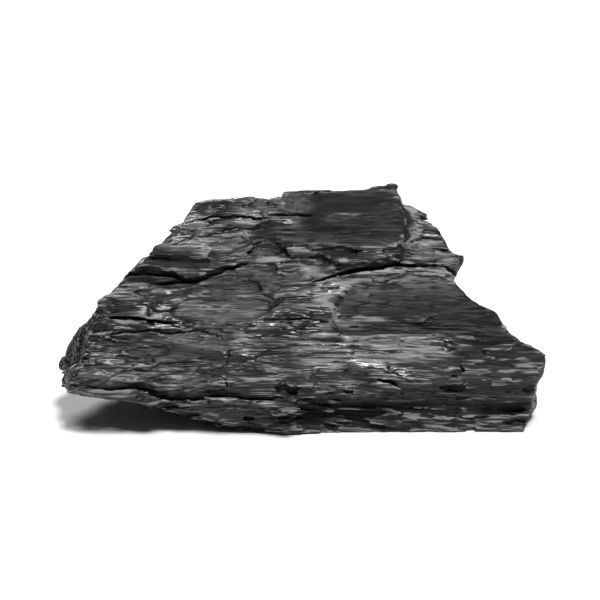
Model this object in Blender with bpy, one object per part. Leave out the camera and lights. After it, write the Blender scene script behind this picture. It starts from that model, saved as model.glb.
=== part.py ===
"""Charcoal lump: one split and broken piece of carbonised wood, lying on its flat foot.

It is modelled the way the real piece came about. A round log is split and broken along fracture
planes, layers flake off it along the growth rings, splinters and chips break out of its faces, and
charring opens checks along the rays. Its surface is then left uneven along the grain.

The design frame is in millimetres. X runs along the grain, from the pointed end to the blunt one,
Y runs back from the front edge, and Z is up from the surface that the lump lies on. At the end the
lump is moved so that its origin is at the middle of its box, on that surface.
"""

import math

import bmesh
import bpy
from mathutils import Matrix, Vector

MM = 0.001

# The lump's rough size before it is broken to shape.
LENGTH = 66.0
DEPTH = 31.0

# The split face is the broad face that looks forward and up. It follows the growth rings.
SPLIT_SLOPE = math.radians(41.0)
SPLIT_EDGE = Vector((0.0, 2.0, 11.3))  # where the split face meets the front band
SPLIT_WIDTH = 26.4  # from that edge to the ridge, over the face
ALONG = Vector((1.0, 0.0, 0.0))
UPHILL = Vector((0.0, math.cos(SPLIT_SLOPE), math.sin(SPLIT_SLOPE)))
OUTWARD = Vector((0.0, -math.sin(SPLIT_SLOPE), math.cos(SPLIT_SLOPE)))

# The log that the piece was split from.
PITH_DEPTH = 53.0  # from the split face down to the middle of the log
PITH = SPLIT_EDGE + UPHILL * (SPLIT_WIDTH / 2) - OUTWARD * PITH_DEPTH
BARK_RADIUS = 55.4
LOG_SIDES = 160
SPLIT_LAYER = 1.5  # how far under the bark radius the main split face lies

# Fractures that leave the convex core of the lump: a point on each plane and its outward direction.
FRACTURES = {
    "front_band": ((32, 1.1, 8.5), (0.03, -0.955, 0.295)),
    "front_undercut": ((20, 0.6, 4.6), (-0.08, -0.80, -0.60)),
    "underside": ((32, 12, -0.1), (0.0, 0.02, -1.0)),
    "under_left": ((21, 10, 0.0), (-0.27, -0.10, -0.96)),
    "back_lower": ((32, 29.6, 4.0), (0.04, 0.93, -0.36)),
    "back_upper": ((32, 28.2, 15.0), (-0.06, 0.90, 0.43)),
    "ridge": ((38, 21.9, 28.8), (-0.10, 0.40, 0.91)),
    "left_break": ((2.7, 6.9, 15.1), (-0.73, 0.26, 0.64)),
    "left_tip": ((1.2, 1.5, 8.6), (-0.87, -0.16, 0.46)),
    "left_back": ((5.5, 21, 8), (-0.74, 0.67, 0.05)),
    "right_break": ((55.0, 11.5, 19.6), (0.79, 0.42, 0.45)),
    "right_end": ((63.6, 8, 9), (0.97, -0.10, -0.20)),
    "right_back": ((59.0, 20, 8), (0.80, 0.60, -0.04)),
    "right_under": ((61.6, 4, 1.0), (0.60, -0.50, -0.62)),
}

# Layers that flaked off the split face down to a growth ring: the outline, as (along, uphill) pairs,
# how far under the bark radius the ring lies, and how much it dips towards the blunt end.
FLAKES = {
    "main_face": (
        [(-4, -8), (70, -8), (70, 15.2), (51.5, 13.6), (47.5, 15.4), (44.0, 14.2), (40.5, 12.8),
         (36.5, 12.6), (33.5, 14.6), (30.0, 14.0), (27.0, 17.4), (22.5, 15.4), (17.5, 13.8),
         (12.0, 14.8), (7.5, 12.6), (-4, 12.2)],
        SPLIT_LAYER, 0.0,
    ),
    "right_terrace": ([(44.6, 11), (70, 11), (70, 40), (45.4, 40)], SPLIT_LAYER + 0.2, 1.5),
    "left_terrace": ([(-4, 8), (6.0, 10), (8.5, 14), (12.5, 18), (11.0, 24), (14.0, 40), (-4, 40)],
                     SPLIT_LAYER + 1.0, -2.0),
    "scar": (
        [(36.2, 2.2), (35.2, 5.6), (36.0, 8.6), (38.6, 10.6), (42.6, 11.7), (47.0, 12.0), (51.5, 11.4),
         (70, 12.4), (70, 3.8), (52, 3.2), (44, 2.8)],
        SPLIT_LAYER + 0.9, 1.2,
    ),
    "left_hollow": ([(14, 3.0), (9.5, 5.5), (12, 8.5), (18, 10.2), (25, 10.6), (29, 8.4), (25, 5.0)],
                    SPLIT_LAYER + 0.7, -0.5),
}

# Splinters that broke out of the other faces: a point on the floor that each one left and the way
# the floor faces, then the splinter's outline over that floor, as (along, across) pairs.
SPLINTERS = {
    "under_lip": (
        (0, 1.5, 6.5), (0.02, -0.98, -0.10),
        [(25, -12), (27, -3), (31, -1.4), (38, -0.6), (45, 0.0), (51, 1.2), (57, 0.5), (72, 1.5), (72, -12)],
    ),
    "right_slope": (
        (50.9, 10.9, 18.9), (0.66, 0.50, 0.56),
        [(48.6, -30), (49.6, -4), (50.6, 1), (49.2, 6), (50.6, 12), (49, 30), (95, 30), (95, -30)],
    ),
    "behind_the_slab": (
        (46, 17.0, 12.5), (0.14, 0.24, 0.96),
        [(44.6, 40), (43.6, 8), (44.9, 0.6), (49, 0.0), (53, -1.5), (72, -3), (72, 40)],
    ),
    "back_left": (
        (32, 26.6, 14.2), (-0.05, 0.89, 0.45),
        [(-6, -30), (29, -30), (28.5, -11), (24.5, -7), (25, -2), (21, 2.0), (23.5, 7), (20, 16), (-6, 16)],
    ),
    "back_groove": (
        (32, 27.3, 14.5), (-0.06, 0.91, 0.41),
        [(30, -1.5), (37, -3.4), (72, -3.0), (72, 2.2), (48, 1.4), (36, 0.8)],
    ),
    "back_foot": (
        (32, 28.4, 4.0), (0.06, 0.95, -0.30),
        [(31, 12), (33, -0.5), (38, -2.0), (47, -1.2), (53, -3.6), (72, -3.0), (72, 12)],
    ),
    "underside_hollow": (
        (32, 12, 1.1), (0.03, 0.05, -1.0),
        [(16, -20), (20, -9), (27, -11), (30, -5), (38, -2.5), (44, 2.0), (50, 0.5), (48, -7), (42, -20)],
    ),
}
SPLINTER_REACH = 24.0  # further than any splinter stood above its floor

# Shell-shaped chips broken out of edges: centre of each hollow, and its radii.
CHIPS = [
    ((14.0, -2.4, 6.2), (9.5, 3.6, 2.4)),
    ((60.5, 1.2, 15.6), (4.5, 3.4, 3.0)),
]

# Checks along the rays: the end that they open at, the angle about the pith from the middle of the
# split face, their depth into the end, and the rings they cross, as distances under the bark radius.
CHECKS = [
    ("blunt", -7.5, 13.0, (5.0, 17.0)),
    ("blunt", -1.0, 9.0, (8.0, 22.0)),
    ("blunt", 3.5, 15.0, (3.0, 12.0)),
    ("pointed", -4.0, 14.0, (4.0, 13.0)),
    ("pointed", 2.5, 10.0, (7.0, 18.0)),
]
CHECK_WIDTH = 2.0  # at the mouth

# The uneven surface: the mesh size, and each wave's (length along the grain, width, height).
VOXEL = 0.55
WAVES = [(17.0, 4.2, 1.5), (6.0, 1.7, 0.7)]
KEPT_TRIANGLES = 6000


def clear_scene():
    for obj in list(bpy.data.objects):
        bpy.data.objects.remove(obj)


def charcoal():
    """Black, slightly satin carbonised wood."""
    material = bpy.data.materials.new("charcoal")
    material.use_nodes = True
    shader = material.node_tree.nodes["Principled BSDF"]
    shader.inputs["Base Color"].default_value = (0.035, 0.035, 0.036, 1.0)
    shader.inputs["Roughness"].default_value = 0.55
    shader.inputs["Metallic"].default_value = 0.0
    return material


def add_object(name, bm, parent):
    """Turns a bmesh in millimetres into an object in metres."""
    bmesh.ops.recalc_face_normals(bm, faces=bm.faces)
    bmesh.ops.scale(bm, vec=Vector((MM, MM, MM)), verts=bm.verts)
    mesh = bpy.data.meshes.new(name)
    bm.to_mesh(mesh)
    bm.free()
    obj = bpy.data.objects.new(name, mesh)
    bpy.context.scene.collection.objects.link(obj)
    obj.parent = parent
    return obj


def as_cutter(obj):
    obj.hide_render = True
    obj.display_type = "WIRE"
    return obj


def log_core(radius, dip=0.0):
    """A length of the log inside one growth ring, tilted so that the ring dips by dip per length."""
    bm = bmesh.new()
    bmesh.ops.create_cone(
        bm, cap_ends=True, segments=LOG_SIDES, radius1=radius, radius2=radius, depth=3 * LENGTH
    )
    bmesh.ops.rotate(bm, matrix=Matrix.Rotation(math.pi / 2, 3, "Y"), verts=bm.verts)
    bmesh.ops.rotate(bm, matrix=Matrix.Rotation(math.atan2(dip, LENGTH), 3, "Y"), verts=bm.verts)
    bmesh.ops.translate(bm, vec=PITH + ALONG * (LENGTH / 2), verts=bm.verts)
    return bm


def break_off(bm, point, outward):
    """Removes what lies beyond a plane and closes the cut with one face."""
    everything = bm.verts[:] + bm.edges[:] + bm.faces[:]
    cut = bmesh.ops.bisect_plane(
        bm, geom=everything, plane_co=Vector(point), plane_no=Vector(outward), clear_outer=True
    )
    rim = [part for part in cut["geom_cut"] if isinstance(part, bmesh.types.BMEdge)]
    if rim:
        bmesh.ops.contextual_create(bm, geom=rim)


def prism(outline, at, low, high):
    """A closed prism over an outline, where at(u, v, height) places its points."""
    bm = bmesh.new()
    floor = [bm.verts.new(at(u, v, low)) for u, v in outline]
    face = bm.faces.new(floor)
    raised = bmesh.ops.extrude_face_region(bm, geom=[face])
    lid = [part for part in raised["geom"] if isinstance(part, bmesh.types.BMVert)]
    lift = at(0, 0, high) - at(0, 0, low)
    bmesh.ops.translate(bm, vec=lift, verts=lid)
    return bm


def over_plane(point, outward):
    """The function that prism() needs over a plane: it counts along the grain from X = 0."""
    normal = Vector(outward).normalized()
    grain = (ALONG - normal * ALONG.dot(normal)).normalized()
    across = normal.cross(grain)
    start = Vector(point) - grain * point[0]
    return lambda along, aside, height: start + grain * along + across * aside + normal * height


def subtract(obj, cutter):
    modifier = obj.modifiers.new(cutter.name, "BOOLEAN")
    modifier.operation = "DIFFERENCE"
    modifier.solver = "EXACT"
    modifier.object = cutter


def billet(parent):
    """The convex core: a length of log, split and broken along the fracture planes."""
    bm = log_core(BARK_RADIUS)
    for point, outward in FRACTURES.values():
        break_off(bm, point, outward)
    return add_object("charcoal_lump", bm, parent)


def flake_cutter(name, outline, under_bark, dip, parent):
    """What flaked off: the prism over the outline, down to a growth ring."""
    reach = 4 * SPLIT_LAYER
    split_face = over_plane(SPLIT_EDGE, OUTWARD)
    cutter = as_cutter(add_object(f"{name}_flake", prism(outline, split_face, -reach, reach), parent))
    ring = as_cutter(add_object(f"{name}_ring", log_core(BARK_RADIUS - under_bark, dip), parent))
    subtract(cutter, ring)
    return cutter


def splinter_cutter(name, floor_point, floor_outward, outline, parent):
    """A splinter that broke out of a face, down to a flat floor."""
    floor = over_plane(floor_point, floor_outward)
    return as_cutter(add_object(f"{name}_splinter", prism(outline, floor, 0.0, SPLINTER_REACH), parent))


def chip_cutter(index, centre, radii, parent):
    """A shell-shaped hollow where an edge chipped."""
    bm = bmesh.new()
    bmesh.ops.create_icosphere(bm, subdivisions=3, radius=1.0)
    bmesh.ops.scale(bm, vec=Vector(radii), verts=bm.verts)
    bmesh.ops.translate(bm, vec=Vector(centre), verts=bm.verts)
    return as_cutter(add_object(f"chip_{index}", bm, parent))


def check_cutter(index, end, angle, reach, rings, parent):
    """A wedge that is widest at the end of the lump and closes inside it, in a plane through the pith."""
    outer, inner = (BARK_RADIUS - under for under in rings)
    turn = Matrix.Rotation(math.radians(angle), 3, "X")
    ray, across = turn @ OUTWARD, turn @ UPHILL
    mouth, root = (LENGTH, LENGTH - reach) if end == "blunt" else (0, reach)
    middle = (outer + inner) / 2
    bm = bmesh.new()
    wide = CHECK_WIDTH / 2
    corners = [(mouth, outer, -wide), (mouth, outer, wide), (mouth, inner, wide), (mouth, inner, -wide)]
    opening = [bm.verts.new(PITH + ALONG * x + ray * r + across * s) for x, r, s in corners]
    tip = bm.verts.new(PITH + ALONG * root + ray * middle)
    bm.faces.new(opening)
    for first, second in zip(opening, opening[1:] + opening[:1], strict=True):
        bm.faces.new((first, second, tip))
    return as_cutter(add_object(f"check_{index}", bm, parent))


def make_uneven(obj, parent):
    """Remeshes the broken shape finely, and moves its surface in waves stretched along the grain."""
    remesh = obj.modifiers.new("fine_mesh", "REMESH")
    remesh.mode = "VOXEL"
    remesh.voxel_size = VOXEL * MM
    for index, (length, width, height) in enumerate(WAVES):
        grain = bpy.data.objects.new(f"grain_{index}", None)
        bpy.context.scene.collection.objects.link(grain)
        grain.parent = parent
        grain.scale = Vector((length, width, width)) * MM
        noise = bpy.data.textures.new(f"grain_{index}", "CLOUDS")
        noise.noise_scale = 1.0
        noise.noise_depth = 1
        displace = obj.modifiers.new(f"grain_{index}", "DISPLACE")
        displace.texture = noise
        displace.texture_coords = "OBJECT"
        displace.texture_coords_object = grain
        displace.strength = height * MM
        displace.mid_level = 0.5


def as_shown(obj):
    """The object's mesh with its modifiers."""
    bpy.context.view_layer.update()
    return obj.evaluated_get(bpy.context.evaluated_depsgraph_get()).to_mesh()


def thin_out(obj):
    """Keeps triangles where the shape turns, and drops them where it is flat."""
    fine = as_shown(obj)
    fine.calc_loop_triangles()
    ratio = KEPT_TRIANGLES / len(fine.loop_triangles)
    obj.modifiers.new("fewer_faces", "DECIMATE").ratio = ratio


def cut_foot(obj, parent):
    """The flat foot that the lump lies on, at Z = 0."""
    bm = bmesh.new()
    bmesh.ops.create_cube(bm, size=2 * LENGTH)
    bmesh.ops.translate(bm, vec=Vector((LENGTH / 2, DEPTH / 2, -LENGTH)), verts=bm.verts)
    subtract(obj, as_cutter(add_object("surface_cutter", bm, parent)))


def rest_at_origin(obj, root):
    """Moves everything so that the middle of the lump's box is over the origin."""
    points = [vertex.co.copy() for vertex in as_shown(obj).vertices]
    low = Vector(map(min, zip(*points, strict=True)))
    high = Vector(map(max, zip(*points, strict=True)))
    root.location = Vector((-(low.x + high.x) / 2, -(low.y + high.y) / 2, -low.z))


def main():
    clear_scene()
    root = bpy.data.objects.new("lump_origin", None)
    bpy.context.scene.collection.objects.link(root)

    lump = billet(root)
    lump.data.materials.append(charcoal())
    for name, (outline, under_bark, dip) in FLAKES.items():
        subtract(lump, flake_cutter(name, outline, under_bark, dip, root))
    for name, (floor_point, floor_outward, outline) in SPLINTERS.items():
        subtract(lump, splinter_cutter(name, floor_point, floor_outward, outline, root))
    for index, (centre, radii) in enumerate(CHIPS):
        subtract(lump, chip_cutter(index, centre, radii, root))
    for index, (end, angle, reach, rings) in enumerate(CHECKS):
        subtract(lump, check_cutter(index, end, angle, reach, rings, root))
    make_uneven(lump, root)
    thin_out(lump)
    cut_foot(lump, root)
    rest_at_origin(lump, root)


main()
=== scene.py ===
"""The looks of the charcoal lump: its broken, fibrous surface, its black material and the studio.

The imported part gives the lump's shape. Here it becomes a field of distances to its surface, in
millimetres, and what happened to the wood moves that field: it split into splinters along the grain,
opened cracks as it dried, and lost pits and chips. The surface of the new field is the visible lump.
"""

import math
from concurrent.futures import ThreadPoolExecutor
from itertools import product

import bpy
import numpy as np
import openvdb
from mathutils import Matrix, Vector


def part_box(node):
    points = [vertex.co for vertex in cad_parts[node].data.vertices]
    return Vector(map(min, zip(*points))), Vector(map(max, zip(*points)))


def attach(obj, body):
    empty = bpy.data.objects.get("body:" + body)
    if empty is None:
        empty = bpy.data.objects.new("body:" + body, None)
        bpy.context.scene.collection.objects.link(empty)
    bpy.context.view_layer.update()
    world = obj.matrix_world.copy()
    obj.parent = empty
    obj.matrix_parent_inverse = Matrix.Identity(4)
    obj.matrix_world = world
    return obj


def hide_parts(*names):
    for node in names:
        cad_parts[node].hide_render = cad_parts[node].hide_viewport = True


MM = 0.001
NODE = "charcoal_lump"

# The field: its voxel, how far from the part's surface it reaches, how far from it the field
# changes, and the most that the wood stands out or lies back. All in millimetres.
VOXEL = 0.16
REACH = 1.6
CHANGED = 1.3
MOST_RAISED = 0.95

# How the numbers are worked out: in stretches of this many places, this many stretches at a time.
STRETCH = 40000
THREADS = 4

# The log that the lump was split from: its pith runs along X through this Y and Z, this far from
# the split face, and each year added a ring this thick.
PITH_Y = 31.2
PITH_Z = -20.0
SPLIT_RADIUS = 53.0
RING = 1.7

# How the grain strays: the size of the waves along the grain, around the rings and out from the
# pith, a seed, and how far. The last two make the ends of the splinters ragged.
GRAIN = {
    "bend": ((30, 14, 14), 11, 1.1),
    "sway": ((26, 12, 12), 12, 1.6),
    "fray": ((5.0, 2.4, 2.4), 13, 1.3),
    "comb": ((8.0, 0.75, 0.75), 14, 1.0),
}
FRAY_ACROSS = 0.12  # how far the fray also strays across the grain

# The split face: its front edge, and the slope that it rises at towards the back.
EDGE_Y = -13.5
EDGE_Z = 11.3
SLOPE = math.radians(41)

# Places on the split face, in millimetres along X and up the slope: middle, then half the size.
REGIONS = {
    "scar": ((16.0, 7.6), (11.5, 4.0)),
    "slab_facet": ((8.4, 20.2), (7.0, 4.8)),
    "scales": ((-9.0, 17.4), (10.5, 2.8)),
    "band": ((9.0, 1.2), (9.5, 2.2)),
    "streak": ((2.6, 12.0), (2.6, 0.9)),
    "bright_patch": ((-14.4, 8.0), (5.5, 2.6)),
    "lip": ((-20.5, -3.0), (9.0, 1.1)),
    "fragment": ((18.2, 15.6), (2.6, 2.4)),
    "hollow": ((-17.6, 13.0), (6.4, 2.3)),
    "right_end": ((26.5, 0.8), (6.0, 3.0)),
}

# How smooth the split left some of them, their ash and painted sheen, and how dark and dull they are.
CALM = {"scar": 1.0, "slab_facet": 1.0, "bright_patch": 0.6}
ASH_AND_SHEEN_SHARES = {"band": 1.0, "fragment": 0.9, "streak": 0.9, "scales": 0.25, "lip": 0.45, "bright_patch": 0.15}
DULL = {"slab_facet": 1.0, "hollow": 1.0, "right_end": 0.9, "scar": 0.75}

# Crevices of the split face: start, highest point and end, then half the width, the depth, how far
# the wood above it stands out, and how far the wood below it does.
CREVICES = {
    "over_the_scar": ((1.5, 10.2), (11.5, 13.0), (22.0, 12.6), 0.38, 1.4, 0.15, 0.45),
    "far_left": ((-25.0, 11.4), (-20.5, 12.2), (-15.0, 11.2), 0.55, 1.5, 0.25, 0.0),
    "under_the_scales": ((-20.0, 10.4), (-13.5, 11.6), (-7.0, 14.0), 0.42, 1.5, 0.40, 0.0),
    "in_the_scales": ((-17.5, 16.0), (-12.0, 17.8), (-5.0, 18.2), 0.17, 0.7, 0.25, 0.15),
    "over_the_scales": ((-15.5, 19.6), (-11.0, 20.6), (-5.0, 19.8), 0.20, 0.8, 0.25, 0.15),
    "left_of_the_facet": ((-6.0, 14.8), (-1.0, 15.8), (2.5, 14.6), 0.16, 0.8, 0.20, 0.20),
    "left_low": ((-27.0, 2.6), (-19.0, 3.8), (-10.0, 3.0), 0.20, 0.9, 0.15, 0.05),
    "under_the_band": ((10.0, -2.8), (18.0, -3.4), (28.0, -3.2), 0.32, 1.1, 0.15, 0.0),
    "under_the_lip": ((-30.5, -3.6), (-18.0, -4.2), (-2.0, -4.8), 0.40, 1.2, 0.25, 0.0),
}
LEDGE_LENGTH = 2.5  # how far from a crevice the wood above it stands out
RIM_LENGTH = 1.2  # and the wood below it
CREVICE_BACK = -4.5  # how far behind the split face the crevices end

# Splinters: their size along the grain, around the rings and out from the pith, a seed, how much
# their tops lean, and how narrow their joins are. Then how far they stand out: everywhere, less by
# this where the wood is calm, more by this where it is rough, and the share lost on broken ends.
SPLINTERS = {
    "large": ((13.0, 3.4, 1.8), 31, 1.6, 30.0, 0.16, 0.06, 0.30, 0.40),
    "middle": ((5.5, 1.3, 0.8), 32, 1.8, 30.0, 0.08, 0.03, 0.20, 0.55),
    "fine": ((2.4, 0.6, 0.45), 33, 1.6, 20.0, 0.04, 0.0, 0.06, 0.55),
}

# Checks: how far apart they are, half the width of the widest, their depth and a seed.
WIDE_CHECKS = (6.5, 0.26, 1.7, 41)
END_CHECKS = (2.1, 0.17, 0.8, 53)

# Breaks across the grain: how far apart they may be, the size of each around and out, half its
# width, its depth, and the share of places without one.
BREAK_SPACING = 8.0
BREAK_AROUND = 4.0
BREAK_OUT = 2.2
BREAK_WIDTH = 0.13
BREAK_DEPTH = 0.9
UNBROKEN = 0.88

# Pits: the size of the cells that they lie in, and the size that a cell counts as, which is less
# along X and makes the pits longer that way. Then the smallest radius, how much larger one may be,
# and the share of cells that have one.
PIT_CELL = (3.2, 1.9, 1.9)
PIT_SHAPE = (1.6, 1.9, 1.9)
PIT_SMALLEST = 0.25
PIT_LARGER = 0.75
PIT_SHARE = 0.35

# The material's noises: waves per millimetre along the grain, around the rings and out from the
# pith, and how much detail they have.
WAVES = {
    "hair": ((0.5, 4.4, 4.4), 0.0),
    "fibre": ((0.22, 2.2, 2.2), 1.0),
    "grain": ((0.08, 0.8, 0.8), 1.0),
    "layers": ((0.07, 0.62, 0.62), 1.0),
    "patch": ((0.10, 0.22, 0.22), 2.0),
    "spread": ((0.07, 0.16, 0.16), 1.0),
}
VESSELS = (0.25, 1.7, 1.7)  # vessels per millimetre

# How deep the material's bumps are, in millimetres.
GRAIN_BUMP = 0.60
FIBRE_BUMP = 0.28
HAIR_BUMP = 0.10
GROOVE_BUMP = 0.16

# How much light the material's greys reflect, and its index of refraction.
# The deepest grey below also paints shade in recesses and grooves.
DEEP = 0.002
COAL = 0.012
DULL_COAL = 0.004
# The ash grey below also paints sheen and highlights.
ASH_AND_SHEEN_GREY = 0.17
INDEX = 1.46

# The studio: each light's place and size in metres and its watts, the room's own faint light, and
# the size and grey of the floor.
LIGHTS = {
    "key": ((0.35, -0.85, 1.75), 0.6, 54.5),
    "rim": ((-0.5, 1.2, 1.5), 0.8, 24.0),
}
ROOM_LIGHT = 0.05
FLOOR_SIZE = 1.2
FLOOR_GREY = 0.8

# The camera: a long lens that looks down a little, and the share of the picture's width it fills.
CAMERA_ELEVATION = math.radians(18)
LENS = 150
WIDTH_FILLED = 0.80


# ---------------------------------------------------------------------------------------------
# Noise in three dimensions. A place is a list of three arrays.
# ---------------------------------------------------------------------------------------------


def mixed_bits(cell, seed):
    """32 repeatable random bits for each whole-number cell. The constants only scramble them."""
    bits = np.full(cell[0].shape, (seed * 2654435761) & 0xFFFFFFFF, np.uint32)
    for axis, prime in zip(cell, (0x8DA6B343, 0xD8163841, 0xCB1AB31F), strict=True):
        bits ^= axis.astype(np.uint32) * np.uint32(prime)
    for shift, factor in ((15, 0x2C1B3C6D), (12, 0x297A2D39)):
        bits ^= bits >> np.uint32(shift)
        bits *= np.uint32(factor)
    return bits ^ (bits >> np.uint32(15))


def more_bits(bits):
    """Other bits from the same cell."""
    return bits * np.uint32(0x9E3779B1)


def scatter(cell, seed):
    """A repeatable random number from 0 to 1 for each cell."""
    return mixed_bits(cell, seed).astype(np.float32) * np.float32(2.0**-32)


def four_numbers(bits):
    """Splits 32 random bits into four numbers from 0 to 1."""
    return [((bits >> np.uint32(8 * k)) & np.uint32(255)) * np.float32(1 / 255) for k in range(4)]


def noise(place, size, seed):
    """Smooth noise from -1 to 1, with waves of the given size along each axis."""
    scaled = [axis / np.float32(length) for axis, length in zip(place, size, strict=True)]
    cell = [np.floor(axis).astype(np.int32) for axis in scaled]
    blend = []
    for axis, floor in zip(scaled, cell, strict=True):
        t = axis - floor
        blend.append(t * t * (3 - 2 * t))
    total = np.zeros_like(scaled[0])
    for corner in product((0, 1), repeat=3):
        weight = np.float32(1)
        for side, t in zip(corner, blend, strict=True):
            weight = weight * (t if side else 1 - t)
        total += weight * scatter([floor + side for floor, side in zip(cell, corner, strict=True)], seed)
    return 2 * total - 1


def cells_near(place, size, seed):
    """For each of the 27 cells around a place: the offset from its point, in cells, its level and bits."""
    scaled = [axis / np.float32(length) for axis, length in zip(place, size, strict=True)]
    home = [np.floor(axis).astype(np.int32) for axis in scaled]
    inside = [axis - floor for axis, floor in zip(scaled, home, strict=True)]
    for step in product((-1, 0, 1), repeat=3):
        bits = mixed_bits([floor + by for floor, by in zip(home, step, strict=True)], seed)
        *jitter, level = four_numbers(bits)
        yield [t - by - at for t, by, at in zip(inside, step, jitter, strict=True)], level, bits


def splinters(place, size, seed, lean, narrowness):
    """Heights of splinters, from -1 to 1 at their points: Voronoi cells with leaning tops."""
    nearest = np.full_like(place[0], 9.0)
    height = np.zeros_like(nearest)
    weight = np.zeros_like(nearest)
    for offset, level, bits in cells_near(place, size, seed):
        distance = offset[0] ** 2 + offset[1] ** 2 + offset[2] ** 2
        top = 2 * level - 1
        for axis, by in zip(offset, four_numbers(more_bits(bits))[1:], strict=True):
            top += lean * (2 * by - 1) * axis
        closer = np.minimum(nearest, distance)
        kept = np.exp(narrowness * (closer - nearest))
        gained = np.exp(narrowness * (closer - distance))
        height = height * kept + gained * top
        weight = weight * kept + gained
        nearest = closer
    return height / weight


def ramp(values, low, high):
    """0 below low, 1 above high, and smooth between them."""
    t = np.clip((values - low) / (high - low), 0, 1)
    return t * t * (3 - 2 * t)


def in_parts(function, *arrays):
    """Runs a function of arrays on short stretches of them, several at a time."""
    stretches = range(0, len(arrays[0]), STRETCH)
    with ThreadPoolExecutor(THREADS) as pool:
        done = pool.map(lambda first: function(*(a[first : first + STRETCH] for a in arrays)), stretches)
        return np.concatenate(list(done))


# ---------------------------------------------------------------------------------------------
# The field of distances, negative inside the lump
# ---------------------------------------------------------------------------------------------


def distance_field(node):
    """The distances to a node's surface as an array, and the place of its first voxel."""
    mesh = node.data
    mesh.calc_loop_triangles()
    points = np.empty(len(mesh.vertices) * 3, np.float32)
    mesh.vertices.foreach_get("co", points)
    corners = np.empty(len(mesh.loop_triangles) * 3, np.int32)
    mesh.loop_triangles.foreach_get("vertices", corners)
    grid = openvdb.FloatGrid.createLevelSetFromPolygons(
        points.reshape(-1, 3) / np.float32(MM),
        triangles=corners.reshape(-1, 3),
        transform=openvdb.createLinearTransform(voxelSize=VOXEL),
        halfWidth=REACH / VOXEL,
    )
    low, high = grid.evalActiveVoxelBoundingBox()
    field = np.empty([b - a + 1 for a, b in zip(low, high, strict=True)], np.float32)
    grid.copyToArray(field, ijk=low)
    return field, np.array(low, np.float32) * VOXEL


def blur(field, times):
    """Each time averages every voxel with its neighbours, 1-2-1 along each axis."""
    for _ in range(times):
        for axis in range(3):
            inner = [slice(None)] * 3
            before, after = list(inner), list(inner)
            inner[axis], before[axis], after[axis] = slice(1, -1), slice(None, -2), slice(2, None)
            middle = field[tuple(inner)] * 0.5 + (field[tuple(before)] + field[tuple(after)]) * 0.25
            field = field.copy()
            field[tuple(inner)] = middle
    return field


def sample(field, start, points):
    """The field's values at points, blended from the 8 voxels around each."""
    place = (points - start) / VOXEL
    floor = np.clip(np.floor(place).astype(np.int32), 0, np.array(field.shape) - 2)
    t = place - floor
    total = np.zeros(len(points), np.float32)
    for corner in product((0, 1), repeat=3):
        side = np.array(corner)
        weight = np.prod(np.where(side, t, 1 - t), axis=1)
        total += weight * field[tuple((floor + side).T)]
    return total


def largest_body(points, quads):
    """Keeps the faces that hang together with the most others."""
    label = np.arange(len(points))
    while True:
        lowest = label[quads].min(axis=1)
        new = label.copy()
        np.minimum.at(new, quads.ravel(), np.repeat(lowest, 4))
        new = new[new]
        if (new == label).all():
            break
        label = new
    kept = label == np.bincount(label).argmax()
    index = np.cumsum(kept) - 1
    return points[kept], index[quads[kept[quads[:, 0]]]]


def surface_of(field, start):
    """The points, in millimetres, and the four-sided faces of the surface where the field is 0."""
    grid = openvdb.FloatGrid(REACH)
    grid.transform = openvdb.createLinearTransform(voxelSize=VOXEL)
    grid.copyFromArray(field, ijk=tuple(int(round(v / VOXEL)) for v in start))
    points, quads = grid.convertToQuads(isovalue=0.0)
    points, quads = largest_body(points, quads[:, ::-1])
    return points.astype(np.float32), quads.astype(np.int32)


def add_mesh(name, points, quads):
    """An object in the scene, in metres, made of points in millimetres and four-sided faces."""
    mesh = bpy.data.meshes.new(name)
    mesh.vertices.add(len(points))
    mesh.vertices.foreach_set("co", (points * np.float32(MM)).ravel())
    mesh.loops.add(quads.size)
    mesh.loops.foreach_set("vertex_index", quads.ravel())
    mesh.polygons.add(len(quads))
    mesh.polygons.foreach_set("loop_start", np.arange(0, quads.size, 4, dtype=np.int32))
    mesh.update(calc_edges=True)
    mesh.validate()
    mesh.shade_smooth()
    piece = bpy.data.objects.new(name, mesh)
    bpy.context.scene.collection.objects.link(piece)
    return piece


# ---------------------------------------------------------------------------------------------
# Places in the wood and on the split face
# ---------------------------------------------------------------------------------------------


def wood_place(x, y, z):
    """Places in the wood: along the grain, around the rings and out from the pith, slightly bent."""
    across, up = y - PITH_Y, z - PITH_Z
    around = np.arctan2(-across, up) * SPLIT_RADIUS
    out = np.hypot(across, up)
    stray = {name: noise([x, around, out], size, seed) for name, (size, seed, _) in GRAIN.items()}
    far = {name: by * stray[name] for name, (_, _, by) in GRAIN.items()}
    across_too = FRAY_ACROSS * stray["fray"]
    return [x + far["fray"] + far["comb"], around + far["sway"] + across_too, out + far["bend"] + across_too]


def on_split(y, z):
    """How far a place is up the split face from its front edge, and how far out from it."""
    forward, up = EDGE_Y - y, z - EDGE_Z
    return up * math.sin(SLOPE) - forward * math.cos(SLOPE), up * math.cos(SLOPE) + forward * math.sin(SLOPE)


def within(name, x, uphill, outward):
    """1 in a region of the split face, 0 outside it, with a ragged border."""
    middle, half = REGIONS[name]
    ragged = 0.20 * noise([x, uphill, outward], (4.0, 1.6, 1.6), 71)
    away = (((x - middle[0]) / half[0]) ** 4 + ((uphill - middle[1]) / half[1]) ** 4) ** 0.25 + ragged
    return ramp(-away, -1.2, -0.8) * ramp(outward, -4.0, -3.0)


def largest_share(shares, x, uphill, outward):
    """The largest share of the regions that a place is in."""
    return np.maximum.reduce([share * within(name, x, uphill, outward) for name, share in shares.items()])


def under_the_edge(x, y, uphill):
    """1 in the dark, pitted band under the split face's front edge."""
    return ramp(-uphill, 3.0, 4.5) * ramp(-y, 8, 11) * ramp(x, -6, 0)


# ---------------------------------------------------------------------------------------------
# What happened to the wood
# ---------------------------------------------------------------------------------------------


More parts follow.
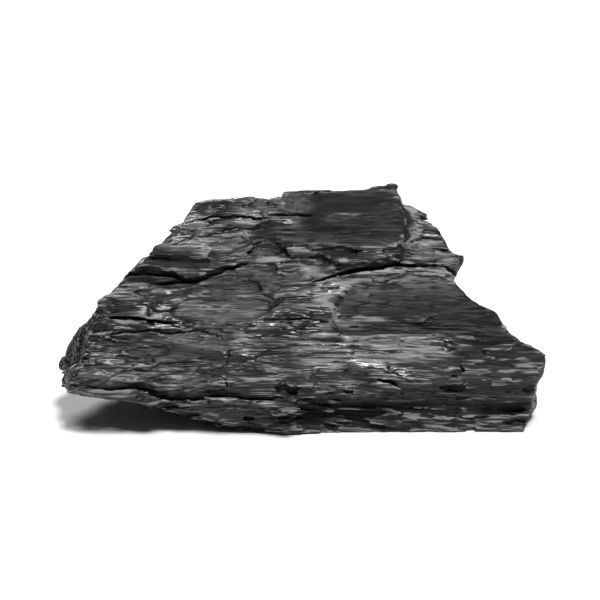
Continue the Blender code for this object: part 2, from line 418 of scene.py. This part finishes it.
def broken(x, y, z, depth, slope):
    """The distance to the broken surface, from that to the part's surface and its slope along X."""
    wood = wood_place(x, y, z)
    uphill, outward = on_split(y, z)
    end = ramp(slope, 0.45, 0.8)
    calm = largest_share(CALM, x, uphill, outward)
    rough = ramp(noise([x, y, z], (13, 9, 9), 21), -0.5, 0.6)
    rough += 0.1 * within("scales", x, uphill, outward) + under_the_edge(x, y, uphill)
    rough = np.clip(rough, 0, 1.4) * (1 - 0.85 * calm)

    opened, above, below = crevices(x, uphill, outward, depth)
    raised = above + below + band_roll(x, uphill, outward) + facet_tilt(x, uphill, outward)
    raised += (0.12 + 0.12 * end) * (1 - 0.7 * calm) * rings(wood[2])
    for size, seed, lean, narrowness, everywhere, less, more, lost in SPLINTERS.values():
        height = (1 - lost * end) * (everywhere - less * calm + more * rough)
        raised += height * splinters(wood, size, seed, lean, narrowness)
    raised -= 0.4 * end * np.maximum(raised, 0)

    moved = depth - MOST_RAISED * np.tanh(raised / MOST_RAISED)
    moved = np.maximum(moved, np.where(calm < 0.5, cracks(wood, depth, end), -REACH))
    moved = np.maximum(moved, opened)
    moved = np.maximum(moved, pits(x, y, z))
    return np.maximum(moved, -z)


def rings(out):
    """The steps that the year rings make: each is steep on the inside and slopes down outwards."""
    t = out / RING
    t -= np.floor(t)
    return ramp(t, 0, 0.12) * (1 - t) - 0.4


def band_roll(x, uphill, outward):
    """The swell along the front edge that shines as a band: a long front slope and a short back one."""
    swell = 0.17 * np.clip(uphill + 0.9, 0, 4.0) * ramp(-uphill, -4.6, -3.0)
    return within("band", x, uphill, outward) * swell


def facet_tilt(x, uphill, outward):
    """The slab's flat facet leans back and to the left."""
    middle = REGIONS["slab_facet"][0]
    lean = 0.08 * (x - middle[0]) - 0.13 * (uphill - middle[1])
    return within("slab_facet", x, uphill, outward) * lean


def crevices(x, uphill, outward, depth):
    """The split face's crevices: how far inside one a place is, and how far the wood above and below
    it stands out."""
    wander = 0.45 * noise([x, uphill, outward], (3.5, 3.0, 3.0), 46)
    wander += 0.22 * noise([x, uphill, outward], (1.0, 0.8, 0.8), 47)
    opened = np.full_like(x, -REACH)
    above = np.zeros_like(x)
    below = np.zeros_like(x)
    for start, middle, end, width, deep, ledge, rim in CREVICES.values():
        t = np.clip((x - start[0]) / (end[0] - start[0]), 0, 1)
        halfway = (middle[0] - start[0]) / (end[0] - start[0])
        bow = middle[1] - start[1] - (end[1] - start[1]) * halfway
        line = start[1] + (end[1] - start[1]) * t + bow * t * (1 - t) / (halfway * (1 - halfway))
        taper = np.sqrt(4 * t * (1 - t)) * (outward > CREVICE_BACK)
        over = uphill - line - wander
        gap = width * taper * np.clip(1 + depth / deep, 0, 1) - np.abs(over)
        opened = np.maximum(opened, np.where(taper > 0, gap, -REACH))
        above += ledge * taper * ramp(over, -0.1, 0.3) * np.exp(-np.maximum(over, 0) / LEDGE_LENGTH)
        below += rim * taper * ramp(-over, -0.1, 0.3) * np.exp(-np.maximum(-over, 0) / RIM_LENGTH)
    return nearest_opening(opened), above, below


def nearest_opening(opened):
    """Leaves out openings so far off that they don't move the surface."""
    return np.where(opened > -0.5, opened, -REACH)


def checks(wood, depth, kind, share):
    """Cracks that opened along the rays as the wood dried, to this share of their width."""
    spacing, widest, deep, seed = kind
    along, around, out = wood
    lane = np.round(around / spacing)
    zero = np.zeros_like(lane, np.int32)
    middle = (lane + 0.7 * (scatter([lane.astype(np.int32), zero, zero], seed) - 0.5)) * spacing
    opened = ramp(noise([along, lane * 9.7, out], (11, 1, 6), seed + 1), 0.15, 0.7)
    return widest * share * opened * np.clip(1 + depth / deep, 0, 1) - np.abs(around - middle)


def breaks(wood, depth):
    """Short cracks across the grain."""
    along, around, out = wood
    column = np.round(around / BREAK_AROUND).astype(np.int32)
    layer = np.round(out / BREAK_OUT).astype(np.int32)
    shifted = along / BREAK_SPACING + scatter([column, layer, np.zeros_like(column)], 43)
    ragged = shifted + 0.05 * noise([along, around, out], (1.5, 0.9, 0.9), 45)
    opened = scatter([column, layer, np.round(shifted).astype(np.int32)], 44) > UNBROKEN
    away = np.abs(ragged - np.round(shifted)) * BREAK_SPACING
    return BREAK_WIDTH * opened * np.clip(1 + depth / BREAK_DEPTH, 0, 1) - away


def cracks(wood, depth, end):
    """How far inside the nearest crack a place is. The broken ends have fine checks too."""
    opened = np.maximum(checks(wood, depth, WIDE_CHECKS, 1.0), breaks(wood, depth))
    return nearest_opening(np.maximum(opened, checks(wood, depth, END_CHECKS, end)))


def pits(x, y, z):
    """How far inside one of the ragged hollows low on the front a place is."""
    band = ramp(-y, 9, 13) * ramp(-z, -9, -5)
    uneven = 0.40 * noise([x, y, z], (1.1, 0.6, 0.6), 52)
    hollow = np.full_like(x, -REACH)
    for offset, level, bits in cells_near([x, y, z], PIT_CELL, 51):
        distance = np.sqrt(sum((by * length) ** 2 for by, length in zip(offset, PIT_SHAPE, strict=True)))
        chance = four_numbers(more_bits(bits))[1]
        radius = (PIT_SMALLEST + PIT_LARGER * level**2) * (chance < PIT_SHARE * band)
        hollow = np.maximum(hollow, np.where(radius > 0, radius + uneven - distance, -REACH))
    return hollow


def ash_and_sheen_mask(x, y, z):
    """Ash and painted sheen: 1 where the split face shines, up to 2 on rims with painted highlights, else 0.
    """
    uphill, outward = on_split(y, z)
    streak = ramp(noise([x, uphill, outward], (3.0, 0.8, 0.8), 61), -0.7, -0.1)
    below = crevices(x, uphill, outward, np.zeros_like(x))[2]
    ash_and_sheen = largest_share(ASH_AND_SHEEN_SHARES, x, uphill, outward) * streak
    # The rims under the crevices and the borders get painted highlights.
    return np.clip(ash_and_sheen + 9 * below + 2 * painted_highlight_borders(x, uphill, outward), 0, 2)


def painted_highlight_borders(x, uphill, outward):
    """Painted highlights: 1 on the scar's left border and the facet's right border and top, else 0."""
    scar, facet = (within(name, x, uphill, outward) for name in ("scar", "slab_facet"))
    left = ramp(-x, -9, -7) * ramp(uphill, 4, 6)
    right = np.maximum(ramp(x, 12, 13.5), ramp(uphill, 22, 23.5))
    return (4 * scar * (1 - scar)) ** 3 * left + (4 * facet * (1 - facet)) ** 3 * right


def dullness(x, y, z):
    """1 where the wood is dark and dull, 0 elsewhere."""
    uphill, outward = on_split(y, z)
    # Under the front edge the darker tone is painted shade; the higher roughness there is real.
    return np.maximum(largest_share(DULL, x, uphill, outward), 0.8 * under_the_edge(x, y, uphill))


# ---------------------------------------------------------------------------------------------
# Materials
# ---------------------------------------------------------------------------------------------


class Nodes:
    """Short ways to make shader nodes."""

    def __init__(self, name):
        self.material = bpy.data.materials.new(name)
        self.material.use_nodes = True
        self.tree = self.material.node_tree
        self.shader = self.tree.nodes["Principled BSDF"]

    def put(self, socket, value):
        if isinstance(value, bpy.types.NodeSocket):
            self.tree.links.new(value, socket)
        elif value is not None:
            socket.default_value = value

    def attribute(self, name, output="Fac"):
        node = self.tree.nodes.new("ShaderNodeAttribute")
        node.attribute_name = name
        return node.outputs[output]

    def scaled(self, vector, scale):
        node = self.tree.nodes.new("ShaderNodeVectorMath")
        node.operation = "MULTIPLY"
        self.put(node.inputs[0], vector)
        self.put(node.inputs[1], scale)
        return node.outputs[0]

    def noise(self, vector, detail):
        node = self.tree.nodes.new("ShaderNodeTexNoise")
        self.put(node.inputs["Vector"], vector)
        node.inputs["Scale"].default_value = 1.0
        node.inputs["Detail"].default_value = detail
        return node.outputs["Fac"]

    def voronoi(self, vector):
        node = self.tree.nodes.new("ShaderNodeTexVoronoi")
        self.put(node.inputs["Vector"], vector)
        node.inputs["Scale"].default_value = 1.0
        return node.outputs["Distance"]

    def math(self, operation, a, b=None, clamp=False):
        node = self.tree.nodes.new("ShaderNodeMath")
        node.operation = operation
        node.use_clamp = clamp
        self.put(node.inputs[0], a)
        self.put(node.inputs[1], b)
        return node.outputs[0]

    def range(self, value, low, high, to_low=0.0, to_high=1.0):
        node = self.tree.nodes.new("ShaderNodeMapRange")
        node.interpolation_type = "SMOOTHSTEP"
        for socket, number in zip(node.inputs, (value, low, high, to_low, to_high), strict=False):
            self.put(socket, number)
        return node.outputs[0]

    def mix(self, factor, a, b):
        """A mix of two colours."""
        node = self.tree.nodes.new("ShaderNodeMix")
        node.data_type = "RGBA"
        self.put(node.inputs[0], factor)
        self.put(node.inputs[6], a)
        self.put(node.inputs[7], b)
        return node.outputs[2]

    def mix_number(self, factor, a, b):
        node = self.tree.nodes.new("ShaderNodeMix")
        self.put(node.inputs[0], factor)
        self.put(node.inputs[2], a)
        self.put(node.inputs[3], b)
        return node.outputs[0]

    def bump(self, height, distance, normal=None):
        node = self.tree.nodes.new("ShaderNodeBump")
        node.inputs["Strength"].default_value = 1.0
        node.inputs["Distance"].default_value = distance
        self.put(node.inputs["Height"], height)
        self.put(node.inputs["Normal"], normal)
        return node.outputs[0]


def grey(value):
    """A grey that is very slightly blue, as charcoal is."""
    return (value, value, value * 1.01, 1.0)


def grooves(n, wood, waves):
    """1 in the thin seams between layers and in the vessels along the grain, 0 elsewhere."""
    seam = n.range(n.math("ABSOLUTE", n.math("SUBTRACT", waves["layers"], 0.5)), 0.020, 0.004)
    seam = n.math("MULTIPLY", seam, n.range(waves["spread"], 0.44, 0.54))
    vessel = n.range(n.voronoi(n.scaled(wood, VESSELS)), 0.22, 0.10)
    return n.math("MAXIMUM", vessel, seam)


def coal_colour(n, waves, dull, deep):
    """Near black, with ash, dust and painted sheen in the shiny streaks and on worn edges."""
    fibre = waves["fibre"]
    tone = n.mix(n.range(waves["patch"], 0.38, 0.62), grey(DEEP), grey(COAL))
    # Darker where dull; under the front edge this darker tone is painted shade.
    tone = n.mix(dull, tone, n.mix(n.range(fibre, 0.4, 0.6), grey(DEEP / 2), grey(DULL_COAL)))
    # Ash with painted sheen in the shiny streaks, and painted highlights on the rims.
    ash_and_sheen = n.math("MULTIPLY", n.attribute("sheen_and_ash"), n.range(fibre, 0.34, 0.56), clamp=True)
    # Dust and painted highlights on the convex edges.
    dust_and_edge_highlight = n.math("MULTIPLY", n.range(n.attribute("edge"), 0.06, 0.15), n.range(fibre, 0.45, 0.60))
    with_ash_and_sheen = n.mix(n.math("MAXIMUM", ash_and_sheen, dust_and_edge_highlight), tone, grey(ASH_AND_SHEEN_GREY))
    # Painted shade: recesses and grooves go to the deepest grey.
    return n.mix(deep, with_ash_and_sheen, grey(DEEP))


def coal_roughness(n, waves, dull, deep):
    """Satin, different from patch to patch and splinter to splinter, and matt where dull or deep."""
    rough = n.range(waves["patch"], 0.35, 0.65, 0.30, 0.48)
    rough = n.math("ADD", rough, n.range(n.attribute("splinter"), -0.8, 0.8, -0.05, 0.09))
    rough = n.mix_number(dull, rough, n.range(waves["fibre"], 0.35, 0.65, 0.70, 1.0))
    return n.math("ADD", rough, n.math("MULTIPLY", deep, 0.3), clamp=True)


def coal_relief(n, waves, groove):
    """Fibres of three sizes, stronger in some patches than in others, and the grooves."""
    fibrous = n.range(waves["spread"], 0.36, 0.58, 0.25, 1.15)
    normal = n.bump(n.math("MULTIPLY", waves["grain"], fibrous), GRAIN_BUMP * MM)
    normal = n.bump(n.math("MULTIPLY", waves["fibre"], fibrous), FIBRE_BUMP * MM, normal)
    normal = n.bump(waves["hair"], HAIR_BUMP * MM, normal)
    return n.bump(n.math("SUBTRACT", 1.0, groove), GROOVE_BUMP * MM, normal)


def charcoal():
    """Black carbon that still shows the wood's fibres, satin to glossy along the grain."""
    n = Nodes("charcoal")
    wood = n.attribute("wood", "Vector")
    waves = {name: n.noise(n.scaled(wood, scale), detail) for name, (scale, detail) in WAVES.items()}
    groove = grooves(n, wood, waves)
    # Painted shade: recesses, seams and vessels are coloured towards the deepest grey.
    recess = n.range(n.attribute("recess"), -0.1, -0.5)
    deep = n.math("MAXIMUM", recess, n.math("MULTIPLY", groove, 0.8))
    dull = n.attribute("dull")
    n.put(n.shader.inputs["Base Color"], coal_colour(n, waves, dull, deep))
    n.put(n.shader.inputs["Roughness"], coal_roughness(n, waves, dull, deep))
    n.put(n.shader.inputs["Normal"], coal_relief(n, waves, groove))
    n.shader.inputs["IOR"].default_value = INDEX
    return n.material


def matt(name, value):
    """A plain matt grey."""
    n = Nodes(name)
    n.shader.inputs["Base Color"].default_value = (value, value, value, 1.0)
    n.shader.inputs["Roughness"].default_value = 0.9
    n.shader.inputs["Specular IOR Level"].default_value = 0.2
    return n.material


# ---------------------------------------------------------------------------------------------
# The lump, the studio and the camera
# ---------------------------------------------------------------------------------------------


def float_attribute(mesh, name, values):
    """Stores a number on each point of a mesh."""
    mesh.attributes.new(name, "FLOAT", "POINT").data.foreach_set("value", values.astype(np.float32))


def vector_attribute(mesh, name, values):
    """Stores three numbers on each point of a mesh."""
    attribute = mesh.attributes.new(name, "FLOAT_VECTOR", "POINT")
    attribute.data.foreach_set("vector", values.astype(np.float32).ravel())


def splinter_levels(x, y, z):
    """A level from -1 to 1 for the middle-sized splinter at each place."""
    size, seed, _, narrowness, *_ = SPLINTERS["middle"]
    return splinters(wood_place(x, y, z), size, seed, 0.0, narrowness)


def break_up(base, start):
    """The field after the wood broke, split and pitted."""
    slope = np.abs(np.gradient(base, VOXEL, axis=0))
    near = np.nonzero(np.abs(base) < CHANGED)
    x, y, z = (start[axis] + VOXEL * near[axis].astype(np.float32) for axis in range(3))
    result = base.copy()
    result[near] = in_parts(broken, x, y, z, base[near], slope[near])
    return result


def make_lump(node):
    """The visible lump, with what its material reads stored on its points."""
    field, start = distance_field(node)
    base = blur(field, 3)
    field = break_up(base, start)
    points, quads = surface_of(field, start)
    piece = add_mesh("lump_surface", points, quads)
    x, y, z = points.T.copy()
    convex = blur(field, 8) - field
    # How far each point lies back, for painted shade in recesses.
    float_attribute(piece.data, "recess", sample(base, start, points))
    # How convex the surface is, for dust and painted highlights on the edges.
    float_attribute(piece.data, "edge", sample(convex, start, points))
    # Ash, painted sheen and painted highlights, for the material's colour.
    float_attribute(piece.data, "sheen_and_ash", in_parts(ash_and_sheen_mask, x, y, z))
    float_attribute(piece.data, "dull", in_parts(dullness, x, y, z))
    float_attribute(piece.data, "splinter", in_parts(splinter_levels, x, y, z))
    wood = in_parts(lambda *place: np.stack(wood_place(*place), axis=1), x, y, z)
    vector_attribute(piece.data, "wood", wood)
    piece.data.materials.append(charcoal())
    return piece


def make_floor(size):
    """A square matt floor."""
    half = size / 2
    corners = [(-half, -half, 0), (half, -half, 0), (half, half, 0), (-half, half, 0)]
    mesh = bpy.data.meshes.new("floor")
    mesh.from_pydata(corners, [], [(0, 1, 2, 3)])
    mesh.materials.append(matt("floor", FLOOR_GREY))
    floor = bpy.data.objects.new("floor", mesh)
    bpy.context.scene.collection.objects.link(floor)
    return floor


def add_light(name, place, size, watts, target):
    """A round area light that faces the target."""
    light = bpy.data.lights.new(name, "AREA")
    light.shape = "DISK"
    light.size = size
    light.energy = watts
    lamp = bpy.data.objects.new(name, light)
    lamp.location = place
    lamp.rotation_euler = (target - Vector(place)).to_track_quat("-Z", "Y").to_euler()
    bpy.context.scene.collection.objects.link(lamp)


def make_room():
    """A room that lights the object faintly and is white where the camera sees it."""
    world = bpy.data.worlds.new("studio")
    world.use_nodes = True
    tree = world.node_tree
    background = tree.nodes["Background"]
    background.inputs["Color"].default_value = (1, 1, 1, 1)
    seen = tree.nodes.new("ShaderNodeLightPath").outputs["Is Camera Ray"]
    level = tree.nodes.new("ShaderNodeMapRange")
    level.inputs["To Min"].default_value = ROOM_LIGHT
    level.inputs["To Max"].default_value = 1.0
    tree.links.new(seen, level.inputs["Value"])
    tree.links.new(level.outputs[0], background.inputs["Strength"])
    bpy.context.scene.world = world


def light_studio(target):
    """The room and its lights, which face the target."""
    make_room()
    for name, (place, size, watts) in LIGHTS.items():
        add_light(name, place, size, watts, target)


def aim_camera(low, high):
    """In front of the lump, looking at the middle of its box."""
    target = (low + high) / 2
    camera = bpy.data.cameras.new("camera")
    camera.lens = LENS
    camera.clip_start = 0.01
    distance = (high.x - low.x) / WIDTH_FILLED * camera.lens / camera.sensor_width
    away = Vector((0, -math.cos(CAMERA_ELEVATION), math.sin(CAMERA_ELEVATION)))
    holder = bpy.data.objects.new("camera", camera)
    holder.location = target + away * distance
    holder.rotation_euler = (-away).to_track_quat("-Z", "Y").to_euler()
    bpy.context.scene.collection.objects.link(holder)
    bpy.context.scene.camera = holder


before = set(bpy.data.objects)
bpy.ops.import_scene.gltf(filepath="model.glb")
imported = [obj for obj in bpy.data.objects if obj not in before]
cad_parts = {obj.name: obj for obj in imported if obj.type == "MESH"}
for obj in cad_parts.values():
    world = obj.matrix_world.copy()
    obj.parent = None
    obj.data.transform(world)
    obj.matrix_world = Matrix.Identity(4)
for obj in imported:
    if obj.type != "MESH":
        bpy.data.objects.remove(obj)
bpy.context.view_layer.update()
low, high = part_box(NODE)

lump = make_lump(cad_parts[NODE])
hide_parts(NODE)
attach(lump, "root")

make_floor(FLOOR_SIZE)
light_studio((low + high) / 2)
aim_camera(low, high)
bpy.context.scene.view_settings.view_transform = "Standard"
